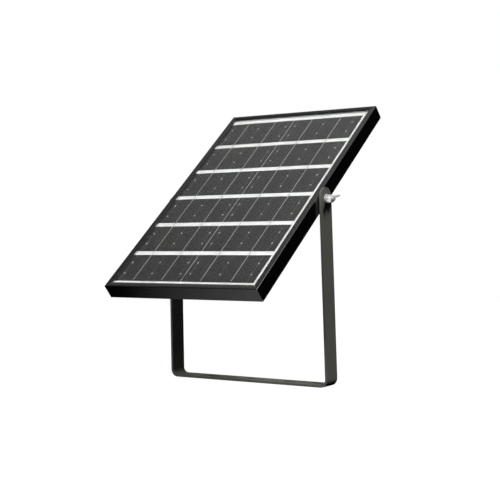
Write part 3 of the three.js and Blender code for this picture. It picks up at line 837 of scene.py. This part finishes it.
def make_ribbons():
    """Flat tinned wire over the second and fourth busbars, with its edges rolled round."""
    length = FIELD_HEIGHT - 4
    for side, word in ((-1, "left"), (1, "right")):
        for k, place in ((1, "inner"), (3, "outer")):
            x = FIELD_X + side * (CELL_SPLIT / 2 + FIRST_BUSBAR + k * BUSBAR_PITCH)
            verts, faces = [], []
            add_box(verts, faces, x, FIELD_Y, RIBBON_TOP - RIBBON_THICK, RIBBON_TOP, RIBBON_WIDTH, length)
            piece = obj_from(f"ribbon_{word}_{place}", verts, faces, PANEL)
            bevel(piece, 0.06, 2)
            place_piece(piece, "tinned_copper", f"tabbing_ribbon_{word}_{place}")


def make_lead_cover():
    """The white insulating strip laid over the slots where the two leads drop to the junction box."""
    width, length, corner, middle_y = 30, 6.8, 0.6, 110.9
    under, top = CELL_TOP - 0.19, CELL_TOP - 0.05
    outline = rounded_rectangle(width, length, corner, y=middle_y)
    piece = prism("lead_cover", outline, under, top, PANEL)
    bevel(piece, 0.04, 2)
    place_piece(piece, "backsheet")


make_glass()
make_lead_cover()
chance = random.Random(7)
for row in range(CELL_ROWS):
    for side in (-1, 1):
        make_cell(row, side, chance)
make_ribbons()

# ---------------- frame corner keys and edge seal


def make_corner_keys():
    """Pressed aluminium angles inside the rear channel, each leg staked twice."""
    leg, thick, low, high = 24, 2.2, 1.5, 12.8
    inset = WALL + 0.3
    corners = [("upper_right", 1, 1), ("upper_left", -1, 1), ("lower_left", -1, -1), ("lower_right", 1, -1)]
    outline = [(0, 0), (-leg, 0), (-leg, -thick), (-thick, -thick), (-thick, -leg), (0, -leg)]
    for turns, (word, x, y) in enumerate(corners):
        corner = moved(x * (PANEL_WIDTH / 2 - inset), y * (PANEL_LENGTH / 2 - inset), 0)
        place = PANEL @ corner @ turned(90 * turns, "Z")
        piece = prism(f"key_{word}", outline, low, high, place)
        middle = (low + high) / 2
        for along in (-9, -17):
            for across, spot in (("y", (along, -thick, middle)), ("x", (-thick, along, middle))):
                cut(piece, dimple(spot, across, place))
        bevel(piece, 0.3, 2, smooth=30)
        place_piece(piece, "raw_aluminium", f"corner_key_{word}")


def dimple(spot, across, place):
    """A staking mark: a shallow cone pressed in along x or y at a spot on the key's inner face."""
    there = place @ moved(*spot) @ turned(90 if across == "y" else 0, "Z")
    return lathe("tool", [(-0.5, 0), (-0.5, 1.6), (0.7, 0.5), (0.7, 0)], there, steps=20)


TAPE_SECTION = [(4.2, 14.7), (4.2, 14.3), (0.35, 14.3), (0.1, 13.95)]  # (out from the edge, height)
BEAD_SECTION = [(0.6, 14.0), (1.5, 14.35), (1.9, 14.78)]  # (in from the edge at size 1, height)


def make_edge_seal():
    """The tape between laminate and ledge, with the sealant that squeezes out along its inner edge."""
    width, length, corner = PANEL_WIDTH - 12, PANEL_LENGTH - 12, 2
    dice = random.Random(11)
    ring = rounded_rectangle(width, length, corner, steps=4)
    path = []
    for a, b in zip(ring, ring[1:] + ring[:1]):
        steps = max(1, round(math.dist(a, b) / 4))
        path += [(a[0] + (b[0] - a[0]) * i / steps, a[1] + (b[1] - a[1]) * i / steps) for i in range(steps)]
    verts, faces = [], []
    count = len(path)
    swell = [dice.uniform(0.75, 1.15) for _ in path]
    for i, (x, y) in enumerate(path):
        size = (swell[i - 1] + swell[i] + swell[(i + 1) % count]) / 3
        out = Vector((
            math.copysign(1, x) if abs(x) > width / 2 - corner - 0.1 else 0,
            math.copysign(1, y) if abs(y) > length / 2 - corner - 0.1 else 0,
        )).normalized()
        section = TAPE_SECTION + [(-inward * size, height) for inward, height in BEAD_SECTION]
        verts += [(x + out.x * away, y + out.y * away, height) for away, height in section]
    rows = len(section)
    for i in range(count):
        j = (i + 1) % count
        for k in range(rows):
            m = (k + 1) % rows
            faces.append((i * rows + k, j * rows + k, j * rows + m, i * rows + m))
    piece = obj_from("edge_seal", verts, faces, PANEL)
    fix_normals(piece)
    smooth_by_angle(piece, 50)
    place_piece(piece, "sealant", "laminate_seal")


make_corner_keys()
make_edge_seal()

# ---------------- junction box

BOX_Y = 112
BOX_WIDTH, BOX_LENGTH, BOX_CORNER = 66, 48, 4
BOX_TOP, BOX_RIM = 14.5, 5.0
LID_TOP, LID_UNDER = 3.8, 1.8
SCREW_X, SCREW_Y = BOX_WIDTH / 2 - 6, BOX_LENGTH / 2 - 6
SCREW_TURNS = (12, 55, 31, 74)  # degrees, as the driver left them
SCREW_SPOTS = [(x, y) for x in (-SCREW_X, SCREW_X) for y in (-SCREW_Y, SCREW_Y)]
BOX_PLACE = PANEL @ moved(0, BOX_Y, 0)
GLAND_Z = BOX_TOP - 9.5 / 2 - 1
# x runs along the panel's y, on the gland's axis
GLAND_PLACE = BOX_PLACE @ moved(0, 0, GLAND_Z) @ turned(90, "Z")


def pin(x, y, low, high, radius):
    return prism("tool", circle(radius, 32, x, y), low, high, BOX_PLACE)


def box_prism(name, inset, corner, low, high):
    """A prism with the junction box's outline, drawn in by inset."""
    outline = rounded_rectangle(BOX_WIDTH - 2 * inset, BOX_LENGTH - 2 * inset, corner)
    return prism(name, outline, low, high, BOX_PLACE)


def make_box_body():
    wall, floor = 2, 1.5
    piece = box_prism("box_shell", 0, BOX_CORNER, BOX_RIM, BOX_TOP)
    cut(piece, box_prism("tool", wall, BOX_CORNER - wall, BOX_RIM - 1, BOX_TOP - floor))
    join(piece, *[pin(x, y, BOX_RIM, BOX_TOP - floor + 0.5, 3.4) for x, y in SCREW_SPOTS])
    cut(piece, *[pin(x, y, BOX_RIM - 1, BOX_RIM + 7, 1.5) for x, y in SCREW_SPOTS])
    cut(piece, prism("tool", rounded_rectangle(28, 5, 0.5), BOX_RIM, BOX_TOP + 1, BOX_PLACE))
    cut(piece, rod(-26, -21, 3.5, GLAND_PLACE, 32))
    bevel(piece, 0.35, 3, smooth=30)
    place_piece(piece, "black_plastic", "junction_box_body")


def make_box_lid():
    """The lid: a shallow raised field, plain screw holes and grip notches."""
    piece = box_prism("box_cover", 0, BOX_CORNER, LID_UNDER, LID_TOP)
    groove_outer = rounded_rectangle(BOX_WIDTH - 24, BOX_LENGTH - 8, 3)
    groove_inner = rounded_rectangle(BOX_WIDTH - 26.4, BOX_LENGTH - 10.4, 2)
    groove = prism("tool", groove_outer, LID_UNDER - 1, LID_UNDER + 0.5, BOX_PLACE)
    cut(groove, prism("tool_core", groove_inner, LID_UNDER - 2, LID_UNDER + 1, BOX_PLACE))
    cut(piece, groove)
    for x in (-12, -6, 0, 6, 12):
        rib = rounded_rectangle(1.6, 22, 0.79, x=x)
        cut(piece, prism("tool", rib, LID_UNDER - 1, LID_UNDER + 0.4, BOX_PLACE))
    cut(piece, *[pin(x, y, LID_UNDER - 1, LID_TOP + 1, 1.7) for x, y in SCREW_SPOTS])
    bevel(piece, 0.22, 2, smooth=30)
    place_piece(piece, "black_plastic", "junction_box_lid")


def make_box_gasket():
    piece = box_prism("box_gasket", 0.4, BOX_CORNER - 0.4, 4.0, 4.8)
    cut(piece, box_prism("tool", 1.7, BOX_CORNER - 1.7, 3, 6))
    bevel(piece, 0.3, 3, smooth=30)
    place_piece(piece, "rubber", "junction_box_gasket")


def driver_cross(face, place):
    """The two slim bars of a driver cross, sunk along +z from the head's face."""
    arm, width, depth = 2.9, 0.75, 1.0
    sizes = ((arm, width), (width, arm))
    bars = [rounded_rectangle(*size, width * 0.2, steps=2) for size in sizes]
    return [prism("tool", bar, face - 1, face + depth, place) for bar in bars]


def make_lid_screws():
    under = LID_UNDER - 0.1
    head = [(under - 1.5, 0), (under - 1.47, 0.7), (under - 1.3, 1.4), (under - 0.9, 2.1),
            (under - 0.4, 2.55), (under - 0.1, 2.7), (under, 2.7)]
    tip = [(under + 9.2, 0.2), (under + 9.2, 0)]
    for i, (x, y) in enumerate(SCREW_SPOTS):
        place = BOX_PLACE @ moved(x, y, 0)
        thread = [(under, 1.3)]
        for turn in range(9):
            start = under + 1.6 + turn * 0.75
            thread += [(start, 0.95), (start + 0.3, 1.3), (start + 0.42, 1.3), (start + 0.72, 0.95)]
        piece = lathe(f"cover_screw_{i + 1}", head + thread + tip, place @ turned(-90, "Y"), steps=36)
        cut(piece, *driver_cross(under - 1.5, place @ turned(SCREW_TURNS[i], "Z")))
        bevel(piece, 0.05, 1, 40, smooth=35)
        place_piece(piece, "zinc_plate", f"lid_screw_{i + 1}")


def hexagon(flats):
    return circle(flats / math.sqrt(3), 6, start=math.pi / 6)


def along_x(outline, name, low, high, place):
    """A prism whose axis is x: the outline lies across it."""
    return prism(name, outline, low, high, place @ turned(90, "Y"))


def hex_piece(name, flats, low, high, place, chamfered=(True, True)):
    """A hexagon bar along x with its corners turned off at the ends, as nuts and bolt heads are."""
    piece = along_x(hexagon(flats), name, low, high, place)
    corner = flats / math.sqrt(3)
    face = flats / 2 * 0.97
    drop = (corner - face) * 0.6
    profile = [(low, 0), (low, face), (low + drop, corner + 0.05)] if chamfered[0] else [
        (low - 1, 0), (low - 1, corner + 1)]
    profile += [(high - drop, corner + 0.05), (high, face), (high, 0)] if chamfered[1] else [
        (high + 1, corner + 1), (high + 1, 0)]
    return combine(piece, "INTERSECT", lathe("tool", profile, place, steps=72))


def make_gland():
    wall_face, flange, thread_length = -24.2, 2.5, 4
    thread_end = wall_face - flange - thread_length
    cap_end = thread_end - 3
    axis = GLAND_PLACE
    body = hex_piece("gland_base", 9, wall_face - flange, wall_face, axis)
    steps = []
    for i in range(5):
        start = thread_end + i * 0.8
        steps += [(start, 3.15), (start + 0.25, 3.5), (start + 0.5, 3.5), (start + 0.75, 3.15)]
    stem = lathe("tool", [(thread_end, 0), *steps, (wall_face - 1, 3.15), (wall_face - 1, 3.3),
                          (wall_face + 3.4, 3.3), (wall_face + 3.6, 3.1), (wall_face + 3.6, 0)],
                 axis, steps=40)
    join(body, stem)
    cut(body, rod(thread_end - 5, wall_face + 9, 2.3, axis, 40))
    bevel(body, 0.15, 2, 40, smooth=35)
    place_piece(body, "black_plastic", "cable_gland_body")

    seal = lathe("gland_ring", [(thread_end - 2.2, 2.3), (thread_end - 2.2, 3.1), (thread_end - 2.0, 3.3),
                                (thread_end - 0.4, 3.3), (thread_end - 0.2, 3.1), (thread_end - 0.2, 2.3)],
                 axis, steps=40, closed=True)
    smooth_by_angle(seal, 35)
    place_piece(seal, "rubber", "cable_gland_seal")

    cap = hex_piece("gland_cap", 9, cap_end, cap_end + 6.7, axis)
    cut(cap, rod(cap_end + 0.6, cap_end + 12, 3.8, axis, 40))
    cut(cap, lathe("tool", [(cap_end - 1, 0), (cap_end - 1, 3.0), (cap_end + 0.5, 2.4), (cap_end + 3, 2.4),
                            (cap_end + 3, 0)], axis, steps=40))
    bevel(cap, 0.2, 2, 40, smooth=35)
    place_piece(cap, "black_plastic", "cable_gland_cap")


make_box_body()
make_box_lid()
make_box_gasket()
make_lid_screws()
make_gland()

# ---------------- pivot hardware

M6_RADIUS, M6_CLEAR, M6_PITCH = 3.0, 3.3, 1.0
FRAME_INSIDE = PANEL_WIDTH / 2 - WALL
WASHER_START = ARM_FACE + 0.3
BOLT_END = WASHER_START + 11.7
WING_START = WASHER_START + 3.5


def rolled_thread(start, end, runout):
    """(along, radius) points of a rolled M6 thread from start, then a turned-off tip at end."""
    crest, root = 2.98, 2.48
    points = []
    along = start
    while along < end - runout:
        points += [(along, crest), (along + 0.42, root), (along + 0.54, root), (along + 0.94, crest)]
        along += M6_PITCH
    return points + [(end - 0.6, 2.95), (end, 2.35), (end, 0)]


def make_bolt():
    """Hex bolt through the rail and the arm: turned shank, and rolled thread to its end."""
    head_start = FRAME_INSIDE - 0.3 - 4
    piece = hex_piece("pivot_bolt", 10, head_start, head_start + 4, AXLE, (True, False))
    shank = [(head_start + 1, 0), (head_start + 1, M6_RADIUS)]
    join(piece, lathe("tool", shank + rolled_thread(ARM_FACE - 6, BOLT_END, 1.3), AXLE, steps=48))
    bevel(piece, 0.12, 2, 50, smooth=32)
    place_piece(piece, "zinc_plate", "right_pivot_bolt")


def make_left_screw():
    """Low button head with a hex socket on the left arm."""
    under = -(ARM_FACE + 0.3)
    end = -FRAME_INSIDE + 9
    head = [(under - 3.0, 0), (under - 3.0, 2.3), (under - 2.72, 3.4), (under - 2.1, 4.4),
            (under - 1.2, 5.3), (under - 0.35, 5.85), (under - 0.1, 6.0), (under, 5.9), (under, M6_RADIUS)]
    piece = lathe("left_screw", head + rolled_thread(under + 4, end, 1.4), AXLE, steps=48)
    cut(piece, along_x(hexagon(4), "tool", under - 4, under - 1.3, AXLE))
    bevel(piece, 0.1, 2, 50, smooth=32)
    place_piece(piece, "zinc_plate", "left_pivot_screw")


def make_lock_nut():
    """Hex nut with a crimped collar over a nylon ring."""
    low = -FRAME_INSIDE + 0.3
    high = low + 6
    piece = hex_piece("lock_nut", 10, low, high - 1.6, AXLE)
    join(piece, lathe("tool", [(high - 2.4, 0), (high - 2.4, 4.7), (high - 0.5, 4.5), (high - 0.1, 4.0),
                               (high - 0.1, 0)], AXLE))
    cut(piece, rod(low - 1, high + 1, 3.15, AXLE), rod(high - 1.6, high + 1, 3.8, AXLE))
    bevel(piece, 0.12, 2, 40, smooth=32)
    place_piece(piece, "zinc_plate", "left_lock_nut")
    insert = lathe("lock_nut_insert", [(high - 1.5, 3.05), (high - 1.5, 3.75), (high - 0.2, 3.75),
                                       (high - 0.05, 3.6), (high - 0.05, 3.05)], AXLE, closed=True)
    smooth_by_angle(insert, 32)
    place_piece(insert, "black_plastic", material=NYLON)


def make_washers():
    start, thick = WASHER_START, 1.6
    end = start + thick
    profile = [(start, M6_CLEAR + 0.15), (start, 6.0), (start + 0.2, 6.2), (end - 0.4, 6.2),
               (end - 0.1, 6.05), (end, 5.8), (end, M6_CLEAR + 0.15), (end - 0.2, M6_CLEAR),
               (start + 0.2, M6_CLEAR)]
    flat = lathe("flat_washer", profile, AXLE, steps=72, closed=True)
    smooth_by_angle(flat, 32)
    place_piece(flat, "zinc_plate", "right_flat_washer", body="washers")

    start, thick = WASHER_START + 1.8, 1.5
    profile = [(start, M6_CLEAR), (start, 5.5), (start + thick, 5.5), (start + thick, M6_CLEAR)]
    spring = lathe("spring_washer", profile, AXLE, steps=72, closed=True)
    slot = [(2, -0.5), (7, -0.5), (7, 0.5), (2, 0.5)]
    split = LEVEL_AXLE @ turned(35, "X") @ moved(start, 0, 0) @ turned(-90, "Y")
    cut(spring, prism("tool", slot, -3, 3, split))
    bevel(spring, 0.16, 2, 40, smooth=32)
    place_piece(spring, "zinc_plate", "right_spring_washer", body="washers")


def make_wing_nut():
    """Cast wing nut: a coned hub and two leaf-shaped ears that melt into it."""
    place = LEVEL_AXLE @ turned(20, "X")
    start = WING_START
    hub_profile = [(start, 0), (start, 4.9), (start + 0.3, 5.2), (start + 2.2, 5.1), (start + 4.4, 4.6),
                   (start + 5.6, 4.2), (start + 6, 3.8), (start + 6, 0)]
    hub = lathe("wing_nut", hub_profile, place, steps=64)
    for side in (1, -1):
        join(hub, wing_ear(side, start, place))
    cut(hub, lathe("tool", [(start - 1, 0), (start - 1, M6_CLEAR + 0.35), (start, M6_CLEAR + 0.35),
                            (start + 0.4, M6_CLEAR - 0.25), (start + 5.6, M6_CLEAR - 0.25),
                            (start + 6, M6_CLEAR + 0.2), (start + 7, M6_CLEAR + 0.2), (start + 7, 0)],
                   place, steps=48))
    remesh_soften(hub)
    smooth_by_angle(hub, 40)
    place_piece(hub, "zinc_plate", "right_wing_nut", body="wing_nut")


def wing_ear(side, start, place):
    """One ear as a lens-sectioned leaf. Its outline is (out from the axis, along the axis)."""
    lower = [(3.4, 0.5), (5.4, 0.75), (7.6, 1.15), (9.8, 2.2), (11.6, 3.9), (12.75, 5.7)]
    middle_out, middle_along, radius, steps = 10.7, 7.1, 2.4, 7
    angles = [-0.4 + 2.7 * i / steps for i in range(1, steps + 1)]
    round_end = [(middle_out + radius * math.cos(a), middle_along + radius * math.sin(a)) for a in angles]
    upper = [(7.8, 7.6), (6.4, 6.5), (5.0, 5.8), (3.4, 5.4)]
    outline = lower + round_end + upper
    cx = sum(p[0] for p in outline) / len(outline)
    cy = sum(p[1] for p in outline) / len(outline)
    verts, faces = [], []
    layers = [(1.0, 0.45), (0.93, 0.85), (0.75, 1.0), (0.4, 0.95)]
    for sign in (1, -1):
        for shrink, half in layers:
            for out, along in outline:
                verts.append((start + cy + (along - cy) * shrink,
                              side * (cx + (out - cx) * shrink),
                              sign * half))
    count = len(outline)
    for half_index in (0, 1):
        base = half_index * len(layers) * count
        for layer in range(len(layers) - 1):
            for i in range(count):
                j = (i + 1) % count
                a, b = base + layer * count + i, base + layer * count + j
                faces.append((a, b, b + count, a + count))
        faces.append([base + (len(layers) - 1) * count + i for i in range(count)])
    other = len(layers) * count
    faces += [(i, (i + 1) % count, other + (i + 1) % count, other + i) for i in range(count)]
    piece = obj_from("ear", verts, faces, place)
    fix_normals(piece)
    return piece


def remesh_soften(piece, voxel=0.16, rounds=3):
    """Melts the joins of a cast piece: a fine voxel remesh, then a few rounds of smoothing."""
    remesh = piece.modifiers.new("Remesh", "REMESH")
    remesh.mode = "VOXEL"
    remesh.voxel_size = voxel * MM
    remesh.adaptivity = 0
    apply_modifiers(piece)
    soften = piece.modifiers.new("Soften", "SMOOTH")
    soften.factor = 0.5
    soften.iterations = rounds
    apply_modifiers(piece)


make_bolt()
make_left_screw()
make_lock_nut()
make_washers()
make_wing_nut()

# ---------------- carried-over CAD nodes

for subpart in frame["record"]["subparts"]:
    node = frame["nodes"][subpart["node"]]
    node.data.materials.clear()
    node.data.materials.append(SLOT_MATERIAL[subpart["material_slot"]])
